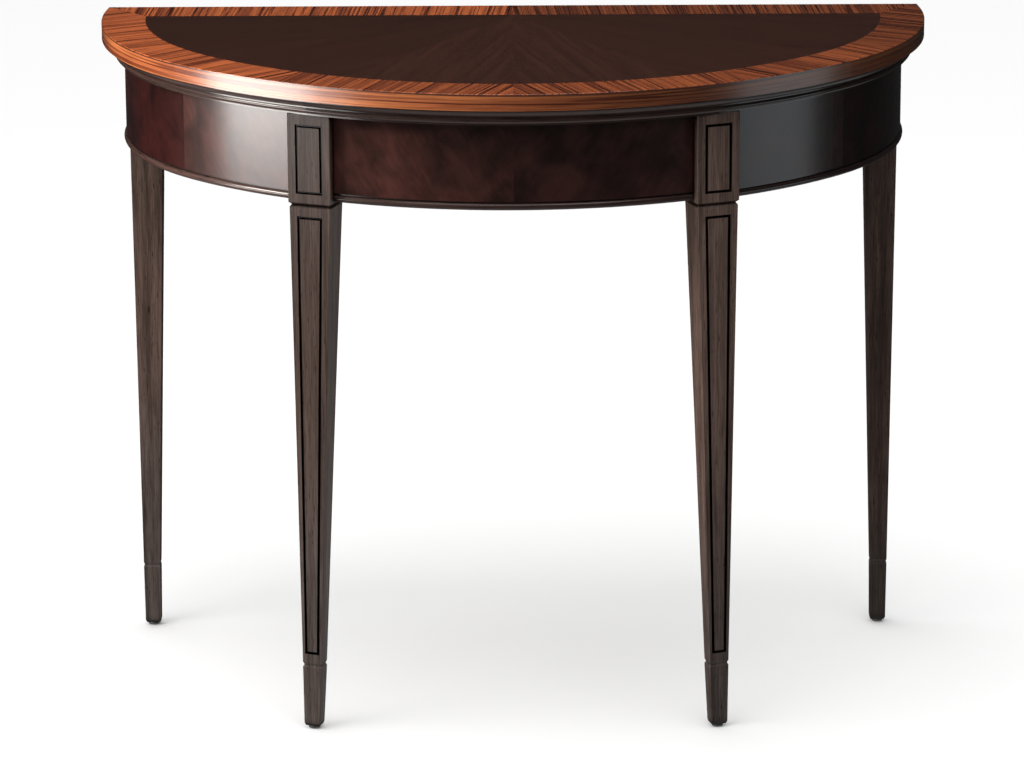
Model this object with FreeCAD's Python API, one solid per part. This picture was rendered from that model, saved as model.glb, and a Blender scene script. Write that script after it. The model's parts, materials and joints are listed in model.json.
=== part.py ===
import FreeCAD, Part
import math
import os

from FreeCAD import Vector

# Demilune side table in millimetres: +Z up, +X along the straight back edge, front towards -Y.
# The origin is on the floor, under the middle of the top's box.

# Overall size and the plan outline, a curve of three tangent arcs
TABLE_WIDTH = 957.0
TABLE_DEPTH = 460.0
TABLE_HEIGHT = 762.0
WIDEST_SETBACK = 52.0  # from the back edge to the line where the top is widest
END_FULLNESS = 0.736  # 0 makes the front one circle, more makes the ends tighter

# Fits
GLUE_LINE = 0.2  # between curved faces that are glued
HOLE_CLEARANCE = 0.1  # on the radius of a hole round a dowel, screw or nail

# Top
TOP_THICKNESS = 19.0
TOP_VENEER = 1.0
TOP_ARRIS = 0.7  # radius along the upper edge of the curve
BACKING_VENEER = 0.8
LIPPING = 4.0
CROSSBAND_WIDTH = 51.0
FIELD_LEAVES = 6
BAND_JOINTS = (30.0, 60.0)  # degrees round the curve from the front, where band lengths meet

# Moulding under the top's edge, from its top down
MOULDING_HEIGHT = 20.0
MOULDING_TOP_INSET = 6.3
MOULDING_FILLET = 2.5
MOULDING_QUIRK = 2.0
OVOLO_HEIGHT = 6.9
OVOLO_RUN = 5.5
OVOLO_BULGE = 1.2
MOULDING_STEP = 1.4
MOULDING_NECK = 1.8
TORUS_HEIGHT = 6.2
TORUS_BULGE = 1.4
MOULDING_FOOT_INSET = 17.6

# Apron
APRON_INSET = 25.8  # from the top's outline to the veneer's face
APRON_HEIGHT = 100.0  # from the moulding down to the underside of the bead
APRON_CORE = 18.0
APRON_VENEER = 1.0
CENTRE_BAY_SETBACK = 8.3  # the centre bay's face behind the curve of the side bays
BAY_SEAM = 0.357  # share of a side bay in front of the seam between its two leaves
BEAD_HEIGHT = 7.5
BEAD_PROUD = 2.6
BEAD_QUIRK_HEIGHT = 2.0
BEAD_QUIRK_DEPTH = 1.7
BACK_SETBACK = 2.0  # from the top's back edge to the back of the rail and rear legs

# Front legs
FRONT_LEG_SPREAD = 0.4745  # share of the width between the middles of the two blocks' faces
FRONT_LEG_YAW = 20.0
FRONT_LEG_INSET = 19.0
BLOCK_WIDTH = 50.5
BLOCK_DEPTH = 40.0
BLOCK_DROP = 4.0  # from the bead down to the groove under the block
ANKLE_WIDTH = 23.5
ANKLE_DEPTH = 16.5
ANKLE_SHIFT = 5.6  # outwards, because the inner side tapers more
PANEL_GROOVE = 3.2
PANEL_GROOVE_DEPTH = 2.8
BLOCK_PANEL_MARGIN = 9.3
BLOCK_PANEL_TOP = 12.0
BLOCK_PANEL_BOTTOM = 13.0
SHAFT_PANEL_MARGIN = 8.8
SHAFT_PANEL_TOP = 13.0
SHAFT_PANEL_FOOT_MARGIN = 3.2
SHAFT_PANEL_BOTTOM = 13.0

# Rear legs
REAR_LEG_WIDTH = 39.0
REAR_LEG_DEPTH = 36.0
REAR_ANKLE_WIDTH = 20.5
REAR_ANKLE_DEPTH = 17.0
REAR_OUTER_TAPER = 2.0

# What all the legs share
LEG_ARRIS = 0.7  # width of the flat taken off the long edges, on each face
NECK_STEP = 1.0  # the shaft is this much inside the block on every face
V_GROOVE = 5.5
V_GROOVE_DEPTH = 2.0
ANKLE_GROOVE_DEPTH = 1.3
ANKLE_HEIGHT = 78.0
TOE_WIDTH = 19.0
TOE_DEPTH = 15.5
TOE_STEP = 0.5  # inside the ankle on the two plumb faces
TOE_CHAMFER = 3.0
TOE_CHAMFER_DEPTH = 1.2

# Glides
GLIDE_HEIGHT = 4.0
GLIDE_DIAMETER = 13.0
GLIDE_EDGE = 2.2
GLIDE_NAIL_DIAMETER = 3.0
GLIDE_NAIL_LENGTH = 15.0

# Frame inside the apron
REAR_RAIL = 20.0
BEARER_WIDTH = 45.0
BEARER_THICKNESS = 20.0
CORNER_BLOCK = 50.0
CORNER_BLOCK_HEIGHT = 40.0
GLUE_BLOCK = 20.0
GLUE_BLOCK_LENGTH = 60.0
FRONT_GLUE_BLOCK_ANGLE = 12.0
SIDE_GLUE_BLOCK_ANGLE = 62.0

# Dowels and screws
DOWEL_DIAMETER = 8.0
DOWEL_IN_LEG = 24.0
DOWEL_IN_APRON = 16.0
DOWEL_IN_RAIL = 12.0
DOWEL_IN_END = 20.0
DOWEL_SPACING = 46.0
DOWEL_STAGGER = 14.0  # between the dowels on a front leg's two sides
BEARER_DOWEL_SPACING = 24.0
SCREW_DIAMETER = 4.0
SCREW_HEAD_DIAMETER = 8.0
SCREW_HEAD_HEIGHT = 2.4
TOP_SCREW_LENGTH = 30.0
TOP_SCREW_SPACING = 220.0
SCREW_COVER = 5.0  # wood left beyond a leg screw's tip
LEG_SCREW_SPACING = 50.0
LEG_SCREW_SETBACK = 9.0  # from the rear leg's front face

UP = Vector(0, 0, 1)
ORIGIN = Vector(0, 0, 0)
FAR = 4 * (TABLE_WIDTH + TABLE_DEPTH)

# Outline worked out from the overall size
back_y = TABLE_DEPTH / 2
front_y = -TABLE_DEPTH / 2
widest_y = back_y - WIDEST_SETBACK
half_width = TABLE_WIDTH / 2
front_reach = TABLE_DEPTH - WIDEST_SETBACK
end_radius = front_reach - END_FULLNESS * (half_width - front_reach)
end_x = half_width - end_radius
front_radius = (end_x**2 + front_reach**2 - end_radius**2) / (2 * (front_reach - end_radius))
front_centre_y = front_y + front_radius
radius_change = front_radius - end_radius
join_angle = math.degrees(math.atan2(end_x / radius_change, (front_centre_y - widest_y) / radius_change))

# Levels, from the top down
veneer_z = TABLE_HEIGHT - TOP_VENEER
underside_z = TABLE_HEIGHT - TOP_THICKNESS
moulding_z = underside_z - MOULDING_HEIGHT
bead_z = moulding_z - APRON_HEIGHT
apron_z = bead_z + BEAD_HEIGHT + BEAD_QUIRK_HEIGHT
block_z = bead_z - BLOCK_DROP

# Insets of the apron's layers and the plane behind the frame
core_inset = APRON_INSET + APRON_VENEER + GLUE_LINE
core_back_inset = core_inset + APRON_CORE
inside_inset = core_back_inset + GLUE_LINE
centre_back_inset = core_back_inset + CENTRE_BAY_SETBACK
centre_inside_inset = inside_inset + CENTRE_BAY_SETBACK
frame_back_y = back_y - BACK_SETBACK
rail_front_y = frame_back_y - REAR_RAIL


# Plan geometry
def on_front(angle, inset):
    """Point on the front arc, at an angle from straight ahead."""
    turn = math.radians(angle)
    reach = front_radius - inset
    return Vector(reach * math.sin(turn), front_centre_y - reach * math.cos(turn), 0)


def on_end(angle, inset):
    """Point on the right-hand end arc, at an angle from straight ahead."""
    turn = math.radians(angle)
    reach = end_radius - inset
    return Vector(end_x + reach * math.sin(turn), widest_y - reach * math.cos(turn), 0)


def outline_x(inset, y):
    """Half width of the inset outline at a line across the end arcs."""
    return end_x + math.sqrt((end_radius - inset) ** 2 - (y - widest_y) ** 2)


def flipped(point):
    return Vector(-point.x, point.y, point.z)


def mirrored(shape):
    return shape.mirror(ORIGIN, Vector(1, 0, 0))


def slab(x0, x1, y0, y1, z0, z1):
    return Part.makeBox(x1 - x0, y1 - y0, z1 - z0, Vector(x0, y0, z0))


def prism(points, bottom, top):
    """Upright prism on a plan polygon."""
    corners = [Vector(x, y, bottom) for x, y in points]
    return Part.Face(Part.makePolygon(corners + corners[:1])).extrude(UP * (top - bottom))


def plate(inset, back, bottom, top):
    """Plate with the table's plan, its curve inset and its straight edge at the back line."""
    corner = Vector(outline_x(inset, back), back, 0)
    corner_angle = 90 + math.degrees(math.asin((back - widest_y) / (end_radius - inset)))
    join = on_front(join_angle, inset)
    shoulder = on_end((corner_angle + join_angle) / 2, inset)
    edges = [
        Part.Arc(corner, shoulder, join),
        Part.Arc(join, on_front(0, inset), flipped(join)),
        Part.Arc(flipped(join), flipped(shoulder), flipped(corner)),
        Part.LineSegment(flipped(corner), corner),
    ]
    face = Part.Face(Part.Wire([edge.toShape() for edge in edges]))
    face.translate(UP * bottom)
    return face.extrude(UP * (top - bottom))


def bulged(start, end, bulge):
    """Point a bulge outside the middle of a chord that runs down a section's face."""
    run = end[0] - start[0]
    drop = start[1] - end[1]
    length = math.hypot(run, drop)
    return (start[0] + end[0]) / 2 - bulge * drop / length, (start[1] + end[1]) / 2 - bulge * run / length


def section(start, *steps):
    """Closed face of (inset, height) points; a step of two points is an arc through the first."""

    def at(point):
        return Vector(-point[0], 0, point[1])

    edges = []
    here = start
    for step in steps + (start,):
        if isinstance(step[0], tuple):
            through, there = step
            edges.append(Part.Arc(at(here), at(through), at(there)))
        else:
            there = step
            edges.append(Part.LineSegment(at(here), at(there)))
        here = there
    return Part.Face(Part.Wire([edge.toShape() for edge in edges]))


def rectangle(inset, back_inset, bottom, top):
    return section((inset, bottom), (back_inset, bottom), (back_inset, top), (inset, top))


def swept(profile, back, setback=0.0):
    """A section carried round the outline, set back from it, and cut off square at the back line."""

    def turned(radius, start, angle, centre):
        face = profile.copy()
        face.translate(Vector(radius - setback, 0, 0))
        face.rotate(ORIGIN, UP, start)
        solid = face.revolve(ORIGIN, UP, angle)
        solid.translate(centre)
        return solid

    front = turned(front_radius, -90 - join_angle, 2 * join_angle, Vector(0, front_centre_y, 0))
    end = turned(end_radius, join_angle - 90, 150 - join_angle, Vector(end_x, widest_y, 0))
    whole = front.fuse([end, mirrored(end)]).removeSplitter()
    return whole.common(slab(-FAR, FAR, -FAR, back, 0, FAR)).Solids[0]


def sector(centre, start, stop):
    """Wedge round a plan point between two angles from straight ahead, right-hand positive."""
    rim = [math.radians(start + (stop - start) * step / 2) for step in range(3)]
    points = [(centre.x, centre.y)]
    points += [(centre.x + FAR * math.sin(turn), centre.y - FAR * math.cos(turn)) for turn in rim]
    return prism(points, 0, FAR)


def ordered(shape):
    """The solids of a cut shape, from left to right."""
    return sorted(shape.Solids, key=lambda solid: solid.CenterOfMass.x)


def halves(shape):
    """Left and right halves of a shape, cut on the centre line."""
    right = shape.common(slab(0, FAR, -FAR, FAR, 0, FAR)).Solids[0]
    return mirrored(right), right


# Fasteners
def pin(base, direction, length, radius):
    return Part.makeCylinder(radius, length, base, direction)


def screw(seat, direction, length, clearance=0.0):
    """Countersunk screw whose head is flush with its seat; with a clearance, the hole for it."""
    head = Part.makeCone(
        SCREW_HEAD_DIAMETER / 2 + clearance,
        SCREW_DIAMETER / 2 + clearance,
        SCREW_HEAD_HEIGHT,
        seat,
        direction,
    )
    return head.fuse(pin(seat, direction, length + clearance, SCREW_DIAMETER / 2 + clearance))


def dowel(point, direction, depth, depth_behind, clearance=0.0):
    """Dowel reaching both ways from a point on a joint; with a clearance, the hole for it."""
    base = point - direction * (depth_behind + clearance)
    return pin(base, direction, depth + depth_behind + 2 * clearance, DOWEL_DIAMETER / 2 + clearance)


# Legs
def stack(levels):
    """Solid through level rectangles with their corners off, each (height, x0, x1, y0, y1)."""
    wires = []
    for z, x0, x1, y0, y1 in levels:
        near_x, far_x = x0 + LEG_ARRIS, x1 - LEG_ARRIS
        near_y, far_y = y0 + LEG_ARRIS, y1 - LEG_ARRIS
        plan = [(near_x, y0), (far_x, y0), (x1, near_y), (x1, far_y)]
        plan += [(far_x, y1), (near_x, y1), (x0, far_y), (x0, near_y)]
        corners = [Vector(x, y, z) for x, y in plan]
        wires.append(Part.makePolygon(corners + corners[:1]))
    return Part.makeLoft(wires, True, True)


def shrunk(box, by):
    x0, x1, y0, y1 = box
    return x0 + by, x1 - by, y0 + by, y1 - by


def leg_levels(block, block_top, block_bottom, neck, ankle, toe):
    """Levels of a leg from the toe up: foot, ankle groove, shaft, neck groove and block."""
    groove = V_GROOVE / 2
    ankle_root = shrunk(ankle, ANKLE_GROOVE_DEPTH)
    neck_root = shrunk(neck, V_GROOVE_DEPTH)
    chamfer_top = GLIDE_HEIGHT + TOE_CHAMFER
    levels = [
        (GLIDE_HEIGHT,) + shrunk(toe, TOE_CHAMFER_DEPTH),
        (chamfer_top,) + toe,
        (ANKLE_HEIGHT - groove,) + ankle,
        (ANKLE_HEIGHT,) + ankle_root,
        (ANKLE_HEIGHT + groove,) + ankle,
        (block_bottom - groove,) + neck,
    ]
    if block:
        levels.append((block_bottom,) + neck_root)
        levels.append((block_bottom + groove,) + block)
        levels.append((block_top,) + block)
    else:
        levels.append((block_top,) + neck)
    return levels


# Front leg, drawn with its block's face on y = 0 and then set on the curve; its front is plumb
front_block = (-BLOCK_WIDTH / 2, BLOCK_WIDTH / 2, 0.0, BLOCK_DEPTH)
front_neck = shrunk(front_block, NECK_STEP)
front_ankle = (
    ANKLE_SHIFT - ANKLE_WIDTH / 2,
    ANKLE_SHIFT + ANKLE_WIDTH / 2,
    front_neck[2],
    front_neck[2] + ANKLE_DEPTH,
)
front_toe = (
    front_ankle[1] - TOE_STEP - TOE_WIDTH,
    front_ankle[1] - TOE_STEP,
    front_ankle[2] + TOE_STEP,
    front_ankle[2] + TOE_STEP + TOE_DEPTH,
)
shaft_top_z = block_z - V_GROOVE / 2
shaft_bottom_z = ANKLE_HEIGHT + V_GROOVE / 2
front_leg_x = FRONT_LEG_SPREAD * half_width
front_leg_angle = math.degrees(math.asin(front_leg_x / (front_radius - FRONT_LEG_INSET)))
front_leg_place = on_front(front_leg_angle, FRONT_LEG_INSET)
yaw = math.radians(FRONT_LEG_YAW)
along_face = Vector(math.cos(yaw), math.sin(yaw), 0)


def set_on_curve(shape):
    """Moves a shape from the front leg's own axes to the right-hand leg's place."""
    placed = shape.copy()
    placed.rotate(ORIGIN, UP, FRONT_LEG_YAW)
    placed.translate(front_leg_place)
    return placed


def shaft_face(z):
    """Edges and plane of the shaft's front face at a height: x0, x1 and y."""
    share = (z - shaft_bottom_z) / (shaft_top_z - shaft_bottom_z)
    return [low + (high - low) * share for low, high in zip(front_ankle[:3], front_neck[:3])]


def block_face(z):
    return front_block[:3]


def panel_groove(face, low, high):
    """Four-sided V groove with a flat floor; low and high are (height, margin) on a leg's face."""

    def frame(grow, depth):
        """Outline on the face, grown by an amount and set in by a depth."""
        corners = []
        for (z, margin), end in ((low, -1), (high, 1)):
            x0, x1, y = face(z)
            level = z + end * grow
            pair = [
                Vector(x0 + margin - grow, y + depth, level),
                Vector(x1 - margin + grow, y + depth, level),
            ]
            corners += pair if end < 0 else pair[::-1]
        return Part.makePolygon(corners + corners[:1])

    slope = PANEL_GROOVE / 3
    lift = PANEL_GROOVE_DEPTH / 2
    over = slope * lift / PANEL_GROOVE_DEPTH
    outside = Part.makeLoft([frame(over, -lift), frame(-slope, PANEL_GROOVE_DEPTH)], True, True)
    panel = Part.makeLoft(
        [frame(-PANEL_GROOVE - over, -lift), frame(slope - PANEL_GROOVE, PANEL_GROOVE_DEPTH)], True, True
    )
    return outside.cut(panel)


def front_leg(holes):
    leg = stack(leg_levels(front_block, underside_z, block_z, front_neck, front_ankle, front_toe))
    leg = leg.cut(
        [
            panel_groove(
                block_face,
                (block_z + BLOCK_PANEL_BOTTOM, BLOCK_PANEL_MARGIN),
                (moulding_z - BLOCK_PANEL_TOP, BLOCK_PANEL_MARGIN),
            ),
            panel_groove(
                shaft_face,
                (ANKLE_HEIGHT + SHAFT_PANEL_BOTTOM, SHAFT_PANEL_FOOT_MARGIN),
                (block_z - SHAFT_PANEL_TOP, SHAFT_PANEL_MARGIN),
            ),
        ]
    )
    rebate = swept(rectangle(-FRONT_LEG_INSET, APRON_INSET, moulding_z, TABLE_HEIGHT), back_y)
    return set_on_curve(leg).cut([rebate] + holes)


# Rear leg on the right, with its outer face in line with the apron's; its back is plumb
rear_y0 = frame_back_y - REAR_LEG_DEPTH
rear_x1 = outline_x(APRON_INSET, frame_back_y - REAR_LEG_DEPTH / 2)
rear_x0 = rear_x1 - REAR_LEG_WIDTH
rear_neck = (rear_x0, rear_x1, rear_y0, frame_back_y)
rear_ankle_x1 = rear_x1 - REAR_OUTER_TAPER
rear_ankle = (
    rear_ankle_x1 - REAR_ANKLE_WIDTH,
    rear_ankle_x1,
    frame_back_y - REAR_ANKLE_DEPTH,
    frame_back_y,
)
rear_toe = (
    rear_ankle[1] - TOE_STEP - TOE_WIDTH,
    rear_ankle[1] - TOE_STEP,
    rear_ankle[3] - TOE_STEP - TOE_DEPTH,
    rear_ankle[3] - TOE_STEP,
)


def rear_leg(holes):
    lower = stack(leg_levels(None, bead_z, bead_z, rear_neck, rear_ankle, rear_toe))
    post = slab(*rear_neck, bead_z, underside_z).common(plate(inside_inset, back_y, 0, TABLE_HEIGHT))
    return lower.fuse(post).removeSplitter().cut(holes)


def toe_centre(toe):
    return Vector((toe[0] + toe[1]) / 2, (toe[2] + toe[3]) / 2, 0)


def glide(place):
    """Domed disc with its nail."""
    radius = GLIDE_DIAMETER / 2
    disc = Part.makeCylinder(radius, GLIDE_HEIGHT, place)
    rim = [edge for edge in disc.Edges if abs(edge.BoundBox.ZMax - place.z) < GLIDE_EDGE / 10]
    nail = pin(place, UP, GLIDE_HEIGHT + GLIDE_NAIL_LENGTH, GLIDE_NAIL_DIAMETER / 2)
    return disc.makeFillet(GLIDE_EDGE, rim).fuse(nail).removeSplitter()


def nail_hole(place):
    radius = GLIDE_NAIL_DIAMETER / 2 + HOLE_CLEARANCE
    return pin(place, UP, GLIDE_HEIGHT + GLIDE_NAIL_LENGTH + HOLE_CLEARANCE, radius)


# Joints between the aprons, legs, rail and bearer, on the right and on the centre line
apron_mid_z = (apron_z + underside_z) / 2
dowel_inset = (core_inset + core_back_inset) / 2


def leg_side_point(side):
    """Where an apron core's middle line meets the front leg's outer (1) or inner (-1) face."""
    inset = dowel_inset if side > 0 else dowel_inset + CENTRE_BAY_SETBACK
    face = front_leg_place.dot(along_face) + side * BLOCK_WIDTH / 2
    swing = (face - front_centre_y * math.sin(yaw)) / (front_radius - inset)
    return on_front(FRONT_LEG_YAW + math.degrees(math.asin(swing)), inset)


def apron_dowels_right(clearance=0.0):
    dowels = []
    for side in (1, -1):
        for step in (-0.5, 0.5):
            z = apron_mid_z + step * DOWEL_SPACING + side * DOWEL_STAGGER / 2
            point = leg_side_point(side) + UP * z
            dowels.append(dowel(point, along_face * side, DOWEL_IN_APRON, DOWEL_IN_LEG, clearance))
    return dowels


def rail_dowels_right(clearance=0.0):
    y = frame_back_y - REAR_RAIL / 2
    dowels = []
    for step in (-0.5, 0.5):
        point = Vector(rear_x0, y, apron_mid_z + step * DOWEL_SPACING)
        dowels.append(dowel(point, Vector(1, 0, 0), DOWEL_IN_RAIL, DOWEL_IN_END, clearance))
    return dowels


def bearer_dowels_right(clearance=0.0):
    x = BEARER_DOWEL_SPACING / 2
    z = underside_z - BEARER_THICKNESS / 2
    front_angle = math.degrees(math.asin(x / (front_radius - centre_back_inset)))
    front = on_front(front_angle, centre_back_inset) + UP * z
    rear = Vector(x, rail_front_y, z)
    return [
        dowel(front, Vector(0, -1, 0), DOWEL_IN_RAIL, DOWEL_IN_END, clearance),
        dowel(rear, Vector(0, 1, 0), DOWEL_IN_RAIL, DOWEL_IN_END, clearance),
    ]


def leg_screws_right(clearance=0.0):
    y = rear_y0 + LEG_SCREW_SETBACK
    length = outline_x(core_inset + SCREW_COVER, y) - rear_x0
    screws = []
    for step in (-0.5, 0.5):
        seat = Vector(rear_x0, y, apron_mid_z + step * LEG_SCREW_SPACING)
        screws.append(screw(seat, Vector(1, 0, 0), length, clearance))
    return screws


# Top screws rise from one level: the bearer's underside, and a counterbore in each corner block
screw_seat_z = underside_z - BEARER_THICKNESS
corner_screw_x = rear_x0 - CORNER_BLOCK / 4
corner_screw_y = rail_front_y - CORNER_BLOCK / 2
bearer_middle_y = (rail_front_y + front_y + centre_back_inset) / 2


def top_screw_seats():
    seats = [Vector(0, bearer_middle_y + step * TOP_SCREW_SPACING, screw_seat_z) for step in (-0.5, 0.5)]
    seats += [Vector(side * corner_screw_x, corner_screw_y, screw_seat_z) for side in (-1, 1)]
    return seats


def top_screw_holes():
    holes = [screw(seat, UP, TOP_SCREW_LENGTH, HOLE_CLEARANCE) for seat in top_screw_seats()]
    bore = SCREW_HEAD_DIAMETER / 2 + HOLE_CLEARANCE
    holes += [pin(seat, -UP, CORNER_BLOCK_HEIGHT, bore) for seat in top_screw_seats()]
    return holes


# Sub-parts
def pair(name, right):
    """A sub-part and its mirror image, named left and right."""
    return {name + "_left": mirrored(right), name + "_right": right}


def make_top():
    parts = {}
    core_plan = plate(LIPPING + GLUE_LINE, back_y - LIPPING, underside_z, veneer_z)
    backing = core_plan.common(slab(-FAR, FAR, -FAR, FAR, 0, underside_z + BACKING_VENEER))
    holes = top_screw_holes()
    parts["top_core"] = core_plan.cut(backing).cut(holes)
    parts["backing_veneer"] = backing.cut(holes)
    edge = plate(0, back_y, underside_z, veneer_z)
    rear_strip = slab(-FAR, FAR, back_y - LIPPING, FAR, 0, FAR)
    parts["edge_lipping_back"] = edge.common(rear_strip)
    curved = swept(rectangle(0, LIPPING, underside_z, veneer_z), back_y - LIPPING)
    parts["edge_lipping_left"], parts["edge_lipping_right"] = halves(curved)
    return parts


def make_field():
    field_back = back_y - CROSSBAND_WIDTH
    field = plate(CROSSBAND_WIDTH, field_back, veneer_z, TABLE_HEIGHT)
    apex = Vector(0, field_back, 0)
    leaf_angle = 180 / FIELD_LEAVES
    leaves = {}
    for leaf in range(FIELD_LEAVES):
        start = leaf * leaf_angle - 90
        wedge = sector(apex, start, start + leaf_angle)
        leaves["field_leaf_%d" % (leaf + 1)] = field.common(wedge)
    return leaves


def make_crossband():
    field_back = back_y - CROSSBAND_WIDTH
    arris_top = (TOP_ARRIS, TABLE_HEIGHT)
    arris_foot = (0, TABLE_HEIGHT - TOP_ARRIS)
    band = section(
        (CROSSBAND_WIDTH, veneer_z),
        (CROSSBAND_WIDTH, TABLE_HEIGHT),
        arris_top,
        (bulged(arris_top, arris_foot, TOP_ARRIS * (1 - math.sqrt(0.5))), arris_foot),
        (0, veneer_z),
    )
    outer = outline_x(2 * TOP_ARRIS, back_y)
    inner = outline_x(CROSSBAND_WIDTH, field_back)
    mitred = [(0, field_back), (inner, field_back), (outer, back_y), (0, back_y)]
    back_band = prism(mitred, veneer_z, TABLE_HEIGHT)
    right = halves(swept(band, back_y).cut([back_band, mirrored(back_band)]))[1]
    first, second = BAND_JOINTS
    front = right.common(sector(Vector(0, front_centre_y, 0), 0, first))
    end = right.common(sector(Vector(end_x, widest_y, 0), second, 180))
    middle = right.cut([front, end])
    parts = pair("crossband_back", back_band)
    parts.update(pair("crossband_front", front))
    parts.update(pair("crossband_middle", middle))
    parts.update(pair("crossband_end", end))
    return parts


def moulding_section(back):
    """Fillet, ovolo, torus and foot under the top, reaching in to a back inset."""
    fillet_z = underside_z - MOULDING_FILLET
    ovolo_top = (MOULDING_TOP_INSET + MOULDING_QUIRK, fillet_z)
    ovolo_end = (ovolo_top[0] + OVOLO_RUN, fillet_z - OVOLO_HEIGHT)
    neck_x = ovolo_end[0] + MOULDING_STEP
    torus_top = (neck_x, ovolo_end[1] - MOULDING_NECK)
    torus_end = (neck_x, torus_top[1] - TORUS_HEIGHT)
    return section(
        (back, underside_z),
        (MOULDING_TOP_INSET, underside_z),
        (MOULDING_TOP_INSET, fillet_z),
        ovolo_top,
        (bulged(ovolo_top, ovolo_end, OVOLO_BULGE), ovolo_end),
        (neck_x, ovolo_end[1]),
        torus_top,
        (bulged(torus_top, torus_end, TORUS_BULGE), torus_end),
        (MOULDING_FOOT_INSET, torus_end[1]),
        (MOULDING_FOOT_INSET, moulding_z),
        (back, moulding_z),
    )


def front_leg_slots():
    """What the two front legs take out of the apron, cut right through it."""
    half = BLOCK_WIDTH / 2
    slot = set_on_curve(slab(-half, half, -BLOCK_DEPTH, 2 * BLOCK_DEPTH, 0, TABLE_HEIGHT))
    return [slot, mirrored(slot)]


def make_moulding():
    """Three lengths that meet over the front legs; the centre one reaches back to its bay."""
    back = APRON_INSET - GLUE_LINE
    span = sector(Vector(0, front_centre_y, 0), -front_leg_angle, front_leg_angle)
    left, right = ordered(swept(moulding_section(back), back_y).cut(span))
    behind = plate(back, back_y, 0, TABLE_HEIGHT)
    posts = [slot.common(behind) for slot in front_leg_slots()]
    centre = swept(moulding_section(back + CENTRE_BAY_SETBACK), back_y).common(span).cut(posts)
    return {"moulding_left": left, "moulding_centre": centre.Solids[0], "moulding_right": right}


def bay_lengths(profile):
    """Left, centre and right lengths of an apron section, the centre one set back."""
    slots = front_leg_slots()
    left, _, right = ordered(swept(profile, frame_back_y).cut(slots))
    _, centre, _ = ordered(swept(profile, frame_back_y, CENTRE_BAY_SETBACK).cut(slots))
    return left, centre, right


def make_apron(holes):
    bays = ("left", "centre", "right")
    parts = {}
    core = rectangle(core_inset, core_back_inset, apron_z, underside_z)
    for bay, solid in zip(bays, bay_lengths(core)):
        parts["apron_core_" + bay] = solid.cut(holes)

    bead_top = (APRON_INSET, bead_z + BEAD_HEIGHT)
    bead_bottom = (APRON_INSET, bead_z)
    quirk_inset = APRON_INSET + BEAD_QUIRK_DEPTH
    bead = section(
        (core_back_inset, apron_z),
        (quirk_inset, apron_z),
        (quirk_inset, bead_top[1]),
        bead_top,
        (bulged(bead_top, bead_bottom, BEAD_PROUD), bead_bottom),
        (core_back_inset, bead_z),
    )
    for bay, solid in zip(bays, bay_lengths(bead)):
        parts["bead_" + bay] = solid

    skin = rectangle(APRON_INSET, APRON_INSET + APRON_VENEER, apron_z, underside_z)
    _, centre, right = bay_lengths(skin)
    bay_front = leg_side_point(1)
    bay_start = math.degrees(math.atan2(bay_front.x - end_x, widest_y - bay_front.y))
    bay_end = 90 + math.degrees(math.asin((frame_back_y - widest_y) / (end_radius - APRON_INSET)))
    seam = bay_start + BAY_SEAM * (bay_end - bay_start)
    behind = sector(Vector(end_x, widest_y, 0), seam, 180)
    parts.update(pair("apron_veneer_rear", right.common(behind)))
    parts.update(pair("apron_veneer_side", right.cut(behind)))
    parts["apron_veneer_centre_left"], parts["apron_veneer_centre_right"] = halves(centre)
    return parts


def make_legs(front_holes, rear_holes):
    front_foot = set_on_curve(Part.Vertex(toe_centre(front_toe))).Point
    rear_foot = toe_centre(rear_toe)
    parts = pair("leg_front", front_leg(front_holes + [nail_hole(front_foot)]))
    parts.update(pair("leg_rear", rear_leg(rear_holes + [nail_hole(rear_foot)])))
    parts.update(pair("glide_front", glide(front_foot)))
    parts.update(pair("glide_rear", glide(rear_foot)))
    return parts


def make_frame(rail_holes, bearer_holes):
    parts = {}
    rail = slab(-rear_x0, rear_x0, rail_front_y, frame_back_y, apron_z, underside_z)
    parts["rear_rail"] = rail.cut(rail_holes)
    inside = plate(inside_inset, back_y, 0, underside_z)
    half = BEARER_WIDTH / 2
    bearer = slab(-half, half, front_y, rail_front_y, screw_seat_z, underside_z)
    bearer = bearer.common(plate(centre_inside_inset, back_y, 0, underside_z))
    parts["centre_bearer"] = bearer.cut(bearer_holes + top_screw_holes())

    run = FAR / 4
    corner_x = rear_x0 - CORNER_BLOCK
    triangle = [(corner_x, rail_front_y), (corner_x + run, rail_front_y - run), (corner_x + run, rail_front_y)]
    corner = prism(triangle, underside_z - CORNER_BLOCK_HEIGHT, underside_z).common(inside)
    corner = corner.cut([slab(*rear_neck, 0, TABLE_HEIGHT)] + top_screw_holes())
    parts.update(pair("corner_block", max(corner.Solids, key=lambda solid: solid.Volume)))

    for name, place, angle, inset in (
        ("glue_block_front", on_front, FRONT_GLUE_BLOCK_ANGLE, centre_inside_inset),
        ("glue_block_side", on_end, SIDE_GLUE_BLOCK_ANGLE, inside_inset),
    ):
        length = GLUE_BLOCK_LENGTH / 2
        block = slab(-length, length, -GLUE_BLOCK, GLUE_BLOCK, underside_z - GLUE_BLOCK, underside_z)
        block.rotate(ORIGIN, UP, angle)
        block.translate(place(angle, inset))
        parts.update(pair(name, block.common(plate(inset, back_y, 0, underside_z))))
    return parts


def both_sides(solids):
    return solids + [mirrored(solid) for solid in solids]


def make_fasteners():
    top_screws = [screw(seat, UP, TOP_SCREW_LENGTH) for seat in top_screw_seats()]
    return {
        "apron_dowels": Part.makeCompound(both_sides(apron_dowels_right())),
        "frame_dowels": Part.makeCompound(both_sides(rail_dowels_right() + bearer_dowels_right())),
        "leg_screws": Part.makeCompound(both_sides(leg_screws_right())),
        "top_screws": Part.makeCompound(top_screws),
    }


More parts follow.
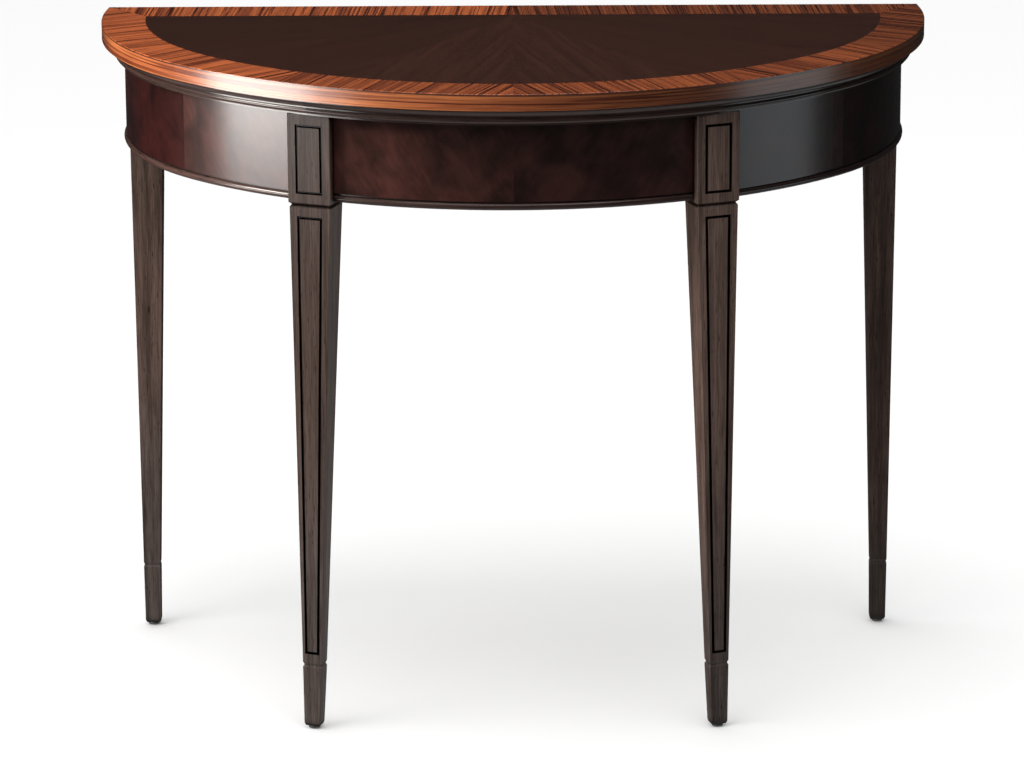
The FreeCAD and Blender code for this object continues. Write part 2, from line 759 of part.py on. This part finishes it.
def make_table():
    apron_holes = apron_dowels_right(HOLE_CLEARANCE)
    rail_holes = rail_dowels_right(HOLE_CLEARANCE)
    bearer_holes = bearer_dowels_right(HOLE_CLEARANCE)
    screw_holes = leg_screws_right(HOLE_CLEARANCE)
    parts = make_top()
    parts.update(make_field())
    parts.update(make_crossband())
    parts.update(make_moulding())
    parts.update(make_apron(both_sides(apron_holes + rail_holes + bearer_holes + screw_holes)))
    parts.update(make_legs(apron_holes, rail_holes + screw_holes))
    parts.update(make_frame(both_sides(rail_holes + bearer_holes), both_sides(bearer_holes)))
    parts.update(make_fasteners())
    return parts


os.makedirs("parts", exist_ok=True)
for node, shape in make_table().items():
    shape.exportStep("parts/%s.step" % node)
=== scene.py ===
import bpy
import json
import math
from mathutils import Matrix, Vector


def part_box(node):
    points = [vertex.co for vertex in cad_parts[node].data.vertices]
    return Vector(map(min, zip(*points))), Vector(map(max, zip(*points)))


# Looks of the half-round table. Lengths are in metres in the row frame: +Z up, the curved front
# towards -Y.

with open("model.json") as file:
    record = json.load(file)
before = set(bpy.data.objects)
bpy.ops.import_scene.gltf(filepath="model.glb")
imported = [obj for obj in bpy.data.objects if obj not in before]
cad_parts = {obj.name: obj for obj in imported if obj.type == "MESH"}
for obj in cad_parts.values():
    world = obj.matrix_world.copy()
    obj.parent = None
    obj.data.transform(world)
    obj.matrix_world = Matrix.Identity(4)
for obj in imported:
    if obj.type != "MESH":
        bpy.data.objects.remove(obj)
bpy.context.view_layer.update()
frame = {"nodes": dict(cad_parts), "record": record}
nodes = frame["nodes"]

WHITE = (1, 1, 1)
SIDES = (("left", -1), ("right", 1))

# Camera, from the photo's perspective
CAMERA_PLACE = (-0.0015, -5.610, 2.016)
CAMERA_PITCH = math.radians(16.39)
CAMERA_ROLL = math.radians(-0.25)
CAMERA_YAW = math.radians(0.0136)
CAMERA_LENS = 178.2
SENSOR_WIDTH = 36.0

# Floor
FLOOR_SIZE = 60.0
FLOOR_COLOUR = (0.84, 0.84, 0.84, 1)
FLOOR_ROUGH = 0.9

# Surroundings: how bright they are, and how bright the lacquer mirrors them
ROOM_LIGHT = 1.15
ROOM_RISE = (0.3, 1.35)  # shares of the room's light at the horizon and overhead
ROOM_TILT = 0.75  # how much lighter the left is
GROUND_LIGHT = 0.30
HORIZON_BLUR = 0.02
ROOM_SHEEN = 0.02
GROUND_SHEEN = 0.40
GROUND_SHEEN_RISE = (-0.75, -0.50)  # upward part of the rays between which the ground's sheen ends

# Lights: place, target, width, height, brightness and colour
WARM = (1.0, 0.97, 0.94)
LIGHTS = {
    "overhead": ((0, -0.95, 3.4), (0, -0.2, 0.7), 2.4, 1.6, 3.0, WHITE),
    "key": ((-2.3, -0.7, 1.9), (0, 0, 0.6), 0.8, 0.8, 34.0, (1.0, 0.96, 0.90)),
    "left_strip": ((-1.95, -0.83, 0.41), (-0.29, -0.14, 0.46), 1.11, 0.34, 19.5, WARM),
    "left_fill": ((-1.53, -1.40, 0.34), (-0.23, -0.15, 0.46), 0.35, 0.30, 4.4, WARM),
    "inner_sheen": ((0.82, 1.00, -0.16), (-0.23, -0.15, 0.24), 0.7, 1.0, 0.18, (0.94, 1.0, 1.0)),
    "right_strip": ((2.03, -0.66, 0.32), (0.29, -0.14, 0.40), 1.04, 0.6, 1.22, (0.86, 0.95, 1.0)),
}

# Grain directions for the right-hand half, in degrees from straight ahead; the apron's leaves have
# the way that they face and how far their grain leans from upright
BAND_GRAIN = {"front": 24.0, "middle": 48.0, "end": 64.0, "back": 4.0}
APRON_GRAIN = {"centre": (10, 30), "side": (38, 35), "rear": (75, 40)}

# Marks in the woods and on steel: length along the grain and width
STRIPE_BROAD, STRIPE_GROUP = (0.60, 0.018), (0.50, 0.050)
STRIPE_LINES, STRIPE_THREADS = (0.90, 0.0072), (0.50, 0.0032)
STRIPE_FIBRE = (0.040, 0.0010)
DARK_BROAD, DARK_FIBRE, DARK_PORES = (0.30, 0.009), (0.045, 0.0016), (0.014, 0.0013)
CLOUDS, FLAMES = (0.045, 0.036), (0.030, 0.0045)
PALE_BROAD, PALE_FIBRE = (0.40, 0.010), (0.020, 0.0008)
SCRATCHES = (0.004, 0.0006)
FIELD_COARSE = 1.5  # how much larger the field's fibres are
FIELD_MARKED = 0.5  # how far the field's fibres show
PLAIN_MARKED = 0.9  # how far fibres and flames show elsewhere

# Colours: light, middle and the lines' tint in striped wood, deep and light in the others
BAND_COLOURS = ((0.56, 0.140, 0.038), (0.27, 0.060, 0.019), (0.28, 0.19, 0.17))
EDGE_COLOURS = ((0.54, 0.172, 0.052), (0.39, 0.107, 0.034), (0.42, 0.32, 0.30))
FIELD_COLOURS = ((0.0392, 0.0129, 0.0078), (0.0521, 0.0174, 0.0105))
LEG_COLOURS = ((0.067, 0.0430, 0.0345), (0.145, 0.0950, 0.0770))
TRIM_COLOURS = ((0.048, 0.0250, 0.0200), (0.092, 0.0480, 0.0390))
APRON_COLOURS = {
    "centre": ((0.034, 0.0135, 0.0108), (0.090, 0.0300, 0.0235)),
    "side": ((0.030, 0.0115, 0.0092), (0.066, 0.0230, 0.0178)),
    "rear": ((0.0115, 0.0024, 0.0021), (0.034, 0.0058, 0.0047)),
}
PALE_COLOURS = ((0.36, 0.24, 0.135), (0.52, 0.37, 0.22))
GLUE_COLOUR = (0.045, 0.018, 0.012, 1)
SCREW_GREY = 0.55
GLIDE_GREY = 0.35

# Lacquer: weight and roughness of the coat
BAND_COAT = (1.0, 0.14)
EDGE_COAT = (1.0, 0.23)
FIELD_COAT = (0.6, 0.2)
APRON_COAT = (1.0, 0.22)
TRIM_COAT = (1.0, 0.16)
LEG_COAT = (0.6, 0.17)
NO_COAT = (0.0, 0.3)
STRIPED_COAT_IOR = 1.6
BARE_SPECULAR = 0.15
ROUGH_SPREAD = 0.05

# Painted shade in hollows, darkened by ambient occlusion: reach, how open the dark and the clear
# places are, and its tint
BLACK_PAINTED_SHADE = (
    (0.009, 0.66, 0.88, (0.05, 0.04, 0.04)),
    (0.030, 0.52, 0.70, (0.20, 0.18, 0.17)),
)
SOFT_PAINTED_SHADE = ((0.004, 0.42, 0.86, (0.30, 0.26, 0.25)),)
HOLLOW_SHADE_SAMPLES = 8

# The dark glue line under the top's veneer, as depths below the top
GLUE_LINE = (0.0017, 0.0010)

# Painted light and shade along an axis: axis, where the colour starts and ends changing, and the tint
# at the end. The centre bay gets a painted sheen, lighter at its left end and darker towards the
# right; the edge gets painted shade, darker towards the right and at its far left end.
CENTRE_PAINTED_SHEEN_FADE = ("X", -0.22, 0.04, (0.44, 0.44, 0.44))
EDGE_PAINTED_SHADE_FADES = (("X", -0.34, 0.30, (0.22, 0.22, 0.22)), ("X", -0.455, -0.478, (0.5, 0.5, 0.5)))

# Tone of each leaf from left to right; and painted light and shade on each length of veneer and trim,
# those on the right painted darker where less light falls on them
LEAF_TONES = (0.70, 0.76, 0.90, 0.90, 0.83, 0.74)
BAND_SHADE_TONES = {
    "left": {"front": 0.67, "middle": 0.98, "end": 1.0, "back": 0.84},
    "right": {"front": 0.59, "middle": 0.58, "end": 0.43, "back": 0.43},
}
APRON_SHADE_TONES = {
    "left": {"centre": 1.0, "side": 1.0, "rear": 1.0},
    "right": {"centre": 1.0, "side": 0.4, "rear": 0.4},
}
TRIM_SHADE_TONES = {"left": 0.9, "centre": 0.55, "right": 0.3}

# Painted light and shade on each leg: its tone, lighter at the front left and darker to the right and
# back, and how its colour changes towards the floor, with painted shade and a painted reflection of
# the floor
LEG_SHADE_TONES = {
    "front_left": (1.24, ("Z", 0.42, 0.10, (1.15, 1.36, 1.50))),
    "front_right": (1.0, ("Z", 0.42, 0.0, (0.66, 0.80, 0.90))),
    "rear_left": (0.76, ("Z", 0.42, 0.05, (0.86, 1.04, 1.16))),
    "rear_right": (0.50, ("Z", 0.20, 0.06, (0.58, 0.68, 0.74))),
}


# Node helpers
def add(tree, kind, settings=None, **inputs):
    """A node with its settings and inputs; an input may be a value or another node's output."""
    node = tree.nodes.new(kind)
    for key, value in (settings or {}).items():
        setattr(node, key, value)
    for key, value in inputs.items():
        socket = node.inputs[key.replace("_", " ")]
        if isinstance(value, bpy.types.NodeSocket):
            tree.links.new(value, socket)
        else:
            socket.default_value = value
    return node


def new_material(name):
    material = bpy.data.materials.new(name)
    material.use_nodes = True
    return material, material.node_tree, material.node_tree.nodes["Principled BSDF"]


def coordinate(tree, axis):
    """A point's place along an axis of the row frame."""
    place = add(tree, "ShaderNodeTexCoord").outputs["Object"]
    return add(tree, "ShaderNodeSeparateXYZ", Vector=place).outputs[axis]


def ranged(tree, value, low, high, start=0.0, end=1.0, curve="LINEAR"):
    """A value carried from one range to another."""
    node = add(
        tree, "ShaderNodeMapRange", {"interpolation_type": curve},
        Value=value, From_Min=low, From_Max=high, To_Min=start, To_Max=end,
    )
    return node.outputs["Result"]


def streaks(tree, grain, size, detail=3.0, rough=0.55, warp=0.0, offset=(0, 0, 0)):
    """Noise drawn out along the grain; size is its marks' length along the grain and two widths."""
    place = add(tree, "ShaderNodeTexCoord").outputs["Object"]
    turn = Vector((1, 0, 0)).rotation_difference(Vector(grain)).to_euler()
    space = add(
        tree, "ShaderNodeMapping", {"vector_type": "TEXTURE"},
        Vector=place, Location=offset, Rotation=turn, Scale=size,
    )
    noise = add(
        tree, "ShaderNodeTexNoise", Vector=space.outputs["Vector"], Scale=1.0,
        Detail=detail, Roughness=rough, Distortion=warp,
    )
    return noise.outputs["Fac"]


def along(length, width):
    """Mark size in wood whose grain is straight."""
    return (length, width, width)


def level(length, width):
    """Mark size in wood whose grain follows a level curve."""
    return (length, length, width)


def ramp(tree, factor, *stops):
    """Colour ramp through (position, colour) stops."""
    node = add(tree, "ShaderNodeValToRGB", Fac=factor)
    elements = node.color_ramp.elements
    while len(elements) < len(stops):
        elements.new(1.0)
    for element, (position, colour) in zip(elements, stops):
        element.position = position
        element.color = (*colour, 1)
    return node.outputs["Color"]


def mix(tree, factor, first, second, blend="MIX"):
    node = tree.nodes.new("ShaderNodeMix")
    node.data_type = "RGBA"
    node.blend_type = blend
    sockets = {socket.identifier: socket for socket in node.inputs}
    for key, value in (("Factor_Float", factor), ("A_Color", first), ("B_Color", second)):
        if isinstance(value, bpy.types.NodeSocket):
            tree.links.new(value, sockets[key])
        else:
            sockets[key].default_value = value
    return [socket for socket in node.outputs if socket.identifier == "Result_Color"][0]


def tinted(tree, colour, tint, factor=1.0):
    return mix(tree, factor, colour, tint, "MULTIPLY")


def finish_wood(tree, shader, colour, height, rough, coat, depth):
    """Links a wood's colour and surface, under a coat of lacquer."""
    bump = add(tree, "ShaderNodeBump", Height=height, Distance=depth).outputs["Normal"]
    gloss = ranged(tree, height, 0.0, 1.0, rough - ROUGH_SPREAD, rough + ROUGH_SPREAD)
    tree.links.new(colour, shader.inputs["Base Color"])
    tree.links.new(gloss, shader.inputs["Roughness"])
    tree.links.new(bump, shader.inputs["Normal"])
    coat_weight, coat_rough = coat
    shader.inputs["Specular IOR Level"].default_value = BARE_SPECULAR
    shader.inputs["Coat Weight"].default_value = coat_weight
    shader.inputs["Coat Roughness"].default_value = coat_rough


# Woods
def toned(colours, tone):
    """Colours made lighter or darker together."""
    return [tuple(tone * value for value in colour) for colour in colours]


def hollow_shaded(tree, colour, reach, low, high, dark):
    """Colour darkened with painted shade in grooves and corners."""
    settings = {"samples": HOLLOW_SHADE_SAMPLES}
    hollow = add(tree, "ShaderNodeAmbientOcclusion", settings, Distance=reach).outputs["AO"]
    return tinted(tree, colour, ramp(tree, hollow, (low, dark), (high, WHITE)))


def rimmed(tree, colour, top):
    """Colour with the dark glue line just under a veneer at a height."""
    lower, upper = GLUE_LINE
    near = ranged(tree, coordinate(tree, "Z"), top - lower, top - upper)
    return mix(tree, near, colour, GLUE_COLOUR)


def painted_light_faded(tree, colour, axis, start, end, tint):
    """Colour with painted light and shade: it goes over to a tinted one along an axis."""
    far = ranged(tree, coordinate(tree, axis), start, end, curve="SMOOTHSTEP")
    return mix(tree, far, colour, tinted(tree, colour, (*tint, 1)))


def striped_wood(name, grain, offset, lie, light, middle, dark, coat, light_fades=(), rim=None):
    """Red-brown veneer with irregular dark lines along the grain."""
    material, tree, shader = new_material(name)

    def marks(size, detail, rough):
        return streaks(tree, grain, lie(*size), detail, rough, offset=offset)

    broad = marks(STRIPE_BROAD, 2.0, 0.5)
    group = marks(STRIPE_GROUP, 1.0, 0.5)
    lines = marks(STRIPE_LINES, 1.0, 0.5)
    threads = marks(STRIPE_THREADS, 1.0, 0.5)
    fibre = marks(STRIPE_FIBRE, 3.0, 0.6)
    tone = ramp(tree, broad, (0.36, middle), (0.52, light), (0.68, middle))
    line = ramp(tree, lines, (0.45, WHITE), (0.47, dark), (0.50, dark), (0.52, WHITE))
    thread = ramp(tree, threads, (0.40, dark), (0.45, WHITE))
    shade = ramp(tree, fibre, (0.34, (0.62, 0.54, 0.50)), (0.56, WHITE))
    dense = ramp(tree, group, (0.40, (0.2, 0.2, 0.2)), (0.58, WHITE))
    colour = tinted(tree, tone, line)
    colour = tinted(tree, colour, thread, dense)
    colour = tinted(tree, colour, shade)
    # Painted shade along the edge: darker towards the right and at the far left end
    for light_fade in light_fades:
        colour = painted_light_faded(tree, colour, *light_fade)
    if rim:
        colour = rimmed(tree, colour, rim)
    finish_wood(tree, shader, colour, fibre, rough=0.40, coat=coat, depth=0.00004)
    shader.inputs["Coat IOR"].default_value = STRIPED_COAT_IOR
    return material


def dark_wood(
    name, grain, offset, lie, deep, light, coat, hollow_shade, coarse=1.0, marked=PLAIN_MARKED, light_fade=None
):
    """Dark stained wood with soft streaks, pores, and fibres that may be coarse or faintly marked."""
    material, tree, shader = new_material(name)
    fibre_size = [coarse * size for size in DARK_FIBRE]
    broad = streaks(tree, grain, lie(*DARK_BROAD), 4.0, 0.6, 0.2, offset)
    fibre = streaks(tree, grain, lie(*fibre_size), 3.0, 0.65, 0.0, offset)
    pores = streaks(tree, grain, lie(*DARK_PORES), 1.0, 0.5, 0.0, offset)
    tone = ramp(tree, broad, (0.34, deep), (0.66, light))
    shade = ramp(tree, fibre, (0.32, (0.50, 0.46, 0.44)), (0.58, WHITE))
    pore = ramp(tree, pores, (0.26, (0.25, 0.22, 0.20)), (0.33, WHITE))
    colour = tinted(tree, tone, shade, marked)
    colour = tinted(tree, colour, pore)
    # Painted light and shade along an axis
    if light_fade:
        colour = painted_light_faded(tree, colour, *light_fade)
    # Painted shade: darker in grooves and corners, where light is blocked
    for layer in hollow_shade:
        colour = hollow_shaded(tree, colour, *layer)
    finish_wood(tree, shader, colour, fibre, rough=0.40, coat=coat, depth=0.00006)
    return material


def figured_wood(name, grain, offset, deep, light, light_fade=None):
    """Dark red veneer with a mottled figure under glossy lacquer."""
    material, tree, shader = new_material(name)
    clouds = streaks(tree, grain, along(*CLOUDS), 3.0, 0.5, 0.4, offset)
    flames = streaks(tree, grain, along(*FLAMES), 3.0, 0.6, 0.6, offset)
    tone = ramp(tree, clouds, (0.36, deep), (0.66, light))
    mark = ramp(tree, flames, (0.34, (0.80, 0.70, 0.67)), (0.60, WHITE))
    colour = tinted(tree, tone, mark, PLAIN_MARKED)
    # Painted sheen: lighter at the left end, darker towards the right
    if light_fade:
        colour = painted_light_faded(tree, colour, *light_fade)
    finish_wood(tree, shader, colour, clouds, rough=0.38, coat=APRON_COAT, depth=0.0012)
    return material


def plain_wood(name, grain, deep, light):
    """Bare pale wood of the hidden frame."""
    material, tree, shader = new_material(name)
    broad = streaks(tree, grain, along(*PALE_BROAD), 4.0, 0.6, 0.3)
    fibre = streaks(tree, grain, along(*PALE_FIBRE), 3.0, 0.6)
    tone = ramp(tree, broad, (0.30, deep), (0.70, light))
    shade = ramp(tree, fibre, (0.30, (0.75, 0.72, 0.68)), (0.60, WHITE))
    colour = tinted(tree, tone, shade, 0.8)
    finish_wood(tree, shader, colour, fibre, rough=0.65, coat=NO_COAT, depth=0.00008)
    return material


def steel(name, grey):
    material, tree, shader = new_material(name)
    scratches = streaks(tree, (0, 0, 1), along(*SCRATCHES))
    colour = ramp(tree, scratches, (0.3, (grey * 0.8,) * 3), (0.7, (grey,) * 3))
    tree.links.new(colour, shader.inputs["Base Color"])
    tree.links.new(ranged(tree, scratches, 0.0, 1.0, 0.28, 0.45), shader.inputs["Roughness"])
    shader.inputs["Metallic"].default_value = 1.0
    return material


# Finishes on the pieces; each has its own offset, so that no two show the same figure
def dress(name, material):
    slots = nodes[name].data.materials
    slots.clear()
    slots.append(material)


def across(angle):
    """Level direction at an angle from straight ahead, right-hand positive."""
    turn = math.radians(angle)
    return (math.sin(turn), -math.cos(turn), 0)


def leaning(angle, lean):
    """Direction on an upright face that looks along an angle, leaning from upright to its right."""
    turn, tip = math.radians(angle), math.radians(lean)
    return (math.cos(turn) * math.sin(tip), math.sin(turn) * math.sin(tip), math.cos(tip))


def dress_field():
    for leaf, tone in enumerate(LEAF_TONES):
        angle = (leaf + 0.5) * 180 / len(LEAF_TONES) - 90
        name = "field_leaf_%d" % (leaf + 1)
        offset = (0.3 * leaf, 0.17 * leaf, 0)
        # The field gets painted shade in its corners and hollows
        wood = dark_wood(
            name, across(angle), offset, along, *toned(FIELD_COLOURS, tone),
            FIELD_COAT, SOFT_PAINTED_SHADE, FIELD_COARSE, FIELD_MARKED,
        )
        dress(name, wood)


def dress_crossband():
    *woods, lines = BAND_COLOURS
    for side, sign in SIDES:
        for part, angle in BAND_GRAIN.items():
            name = "crossband_%s_%s" % (part, side)
            offset = (0.1 * angle, sign * 0.21, 0)
            # Painted light and shade: crossband lengths on the right are darker
            colours = toned(woods, BAND_SHADE_TONES[side][part])
            grain = across(sign * angle)
            dress(name, striped_wood(name, grain, offset, along, *colours, lines, BAND_COAT))


def dress_edge():
    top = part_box("edge_lipping_back")[1][2]
    # The edge is painted darker towards the right and at its far left end: painted shade
    edge = striped_wood(
        "edge_wood", (1, 0, 0), (0, 0, 0), level, *EDGE_COLOURS, EDGE_COAT, EDGE_PAINTED_SHADE_FADES, top
    )
    for side in ("left", "back", "right"):
        dress("edge_lipping_" + side, edge)


def dress_apron():
    for side, sign in SIDES:
        for part, (angle, lean) in APRON_GRAIN.items():
            name = "apron_veneer_%s_%s" % (part, side)
            grain = leaning(sign * angle, sign * lean)
            offset = (0.2 * angle, sign * 0.3, 0)
            # Painted shade: the right-hand side and rear bays are darker
            colours = toned(APRON_COLOURS[part], APRON_SHADE_TONES[side][part])
            # Centre bays: painted sheen at the left end, darker towards the right
            light_fade = CENTRE_PAINTED_SHEEN_FADE if part == "centre" else None
            dress(name, figured_wood(name, grain, offset, *colours, light_fade))
    # Painted shade: trim darker towards the right
    for bay, tone in TRIM_SHADE_TONES.items():
        colours = toned(TRIM_COLOURS, tone)
        # The trim gets painted shade in its hollows
        trim = dark_wood(
            "trim_" + bay, (1, 0, 0), (0, 0, 0), level, *colours, TRIM_COAT, SOFT_PAINTED_SHADE
        )
        dress("moulding_" + bay, trim)
        dress("bead_" + bay, trim)


def dress_legs():
    for number, (place, (tone, light_fade)) in enumerate(LEG_SHADE_TONES.items()):
        name = "leg_" + place
        offset = (0.37 * number, 0, 0.2)
        # Painted light and shade: each leg's tone, its colour towards the floor, and painted shade in
        # its grooves
        colours = toned(LEG_COLOURS, tone)
        wood = dark_wood(name, (0, 0, 1), offset, along, *colours, LEG_COAT, BLACK_PAINTED_SHADE, light_fade=light_fade)
        dress(name, wood)


def dress_hidden():
    pale = plain_wood("frame_wood", (1, 0, 0), *PALE_COLOURS)
    finishes = {
        "core_wood": pale,
        "dowel_wood": pale,
        "screw_steel": steel("screw_steel", SCREW_GREY),
        "glide_steel": steel("glide_steel", GLIDE_GREY),
    }
    for part in frame["record"]["subparts"]:
        if part["material_slot"] in finishes:
            dress(part["node"], finishes[part["material_slot"]])


# Stage
def make_floor():
    half = FLOOR_SIZE / 2
    corners = [(-half, -half, 0), (half, -half, 0), (half, half, 0), (-half, half, 0)]
    mesh = bpy.data.meshes.new("floor")
    mesh.from_pydata(corners, [], [(0, 1, 2, 3)])
    floor = bpy.data.objects.new("floor", mesh)
    bpy.context.scene.collection.objects.link(floor)
    material, _, shader = new_material("floor_paper")
    shader.inputs["Base Color"].default_value = FLOOR_COLOUR
    shader.inputs["Roughness"].default_value = FLOOR_ROUGH
    mesh.materials.append(material)
    floor.visible_diffuse = False
    floor.visible_glossy = False
    return floor


def make_room():
    """White surroundings, lighter on the left and dim below, that the lacquer hardly mirrors."""
    world = bpy.data.worlds.new("room")
    world.use_nodes = True
    world.cycles.sampling_method = "NONE"
    bpy.context.scene.world = world
    tree = world.node_tree
    direction = add(tree, "ShaderNodeTexCoord").outputs["Generated"]
    ray = add(tree, "ShaderNodeSeparateXYZ", Vector=direction).outputs
    path = add(tree, "ShaderNodeLightPath").outputs

    def blend(factor, first, second):
        node = add(tree, "ShaderNodeMix", {"data_type": "FLOAT"})
        for socket, value in zip(node.inputs, (factor, None, first, second)):
            if isinstance(value, bpy.types.NodeSocket):
                tree.links.new(value, socket)
            elif value is not None:
                socket.default_value = value
        return node.outputs[0]

    side = ranged(tree, ray["X"], -1.0, 1.0, 1 + ROOM_TILT, 1 - ROOM_TILT)
    height = ranged(tree, ray["Z"], 0.0, 1.0, *(share * ROOM_LIGHT for share in ROOM_RISE))
    sky = add(tree, "ShaderNodeMath", {"operation": "MULTIPLY"})
    tree.links.new(side, sky.inputs[0])
    tree.links.new(height, sky.inputs[1])
    above = ranged(tree, ray["Z"], -HORIZON_BLUR, HORIZON_BLUR)
    light = blend(above, GROUND_LIGHT, sky.outputs[0])
    sheen = ranged(tree, ray["Z"], *GROUND_SHEEN_RISE, GROUND_SHEEN, ROOM_SHEEN)
    light = blend(path["Is Glossy Ray"], light, sheen)
    light = blend(path["Is Camera Ray"], light, 1.0)
    tree.links.new(light, tree.nodes["Background"].inputs["Strength"])
    tree.nodes["Background"].inputs["Color"].default_value = (*WHITE, 1)


def softbox(name, place, target, width, height, radiance, colour):
    """Area light of a given brightness, turned to face a point."""
    light = bpy.data.lights.new(name, "AREA")
    light.shape = "RECTANGLE"
    light.size = width
    light.size_y = height
    light.energy = radiance * math.pi * width * height
    light.color = colour
    holder = bpy.data.objects.new(name, light)
    holder.location = place
    aim = Vector(target) - Vector(place)
    holder.rotation_euler = aim.to_track_quat("-Z", "Y").to_euler()
    holder.visible_camera = False
    bpy.context.scene.collection.objects.link(holder)
    return holder


def keep_off(light, *objects):
    """Keeps a light off some of the objects round what it is aimed at."""
    others = bpy.data.collections.new(light.name + "_aim")
    light.light_linking.receiver_collection = others
    for number, thing in enumerate(objects):
        others.objects.link(thing)
        others.collection_objects[number].light_linking.link_state = "EXCLUDE"


def keep_on(light, target, floor):
    """Keeps a light on one object, and lets it pass the floor."""
    aim = bpy.data.collections.new(light.name + "_aim")
    light.light_linking.receiver_collection = aim
    aim.objects.link(target)
    stop = bpy.data.collections.new(light.name + "_stop")
    light.light_linking.blocker_collection = stop
    stop.objects.link(floor)
    stop.collection_objects[0].light_linking.link_state = "EXCLUDE"


def make_lights(floor):
    lights = {name: softbox(name, *setting) for name, setting in LIGHTS.items()}
    leg = nodes["leg_front_left"]
    bay = nodes["apron_veneer_centre_left"], nodes["apron_veneer_centre_right"]
    keep_off(lights["key"], floor, leg)
    keep_off(lights["left_strip"], *bay, leg)
    keep_off(lights["left_fill"], *bay)
    keep_on(lights["inner_sheen"], leg, floor)


def make_camera():
    camera = bpy.data.objects.new("camera", bpy.data.cameras.new("camera"))
    camera.data.lens = CAMERA_LENS
    camera.data.sensor_width = SENSOR_WIDTH
    camera.data.clip_end = FLOOR_SIZE
    camera.location = CAMERA_PLACE
    camera.rotation_mode = "ZYX"
    camera.rotation_euler = (math.pi / 2 - CAMERA_PITCH, CAMERA_YAW, CAMERA_ROLL)
    scene = bpy.context.scene
    scene.collection.objects.link(camera)
    scene.camera = camera
    scene.view_settings.view_transform = "Standard"


dress_field()
dress_crossband()
dress_edge()
dress_apron()
dress_legs()
dress_hidden()
floor = make_floor()
make_room()
make_lights(floor)
make_camera()
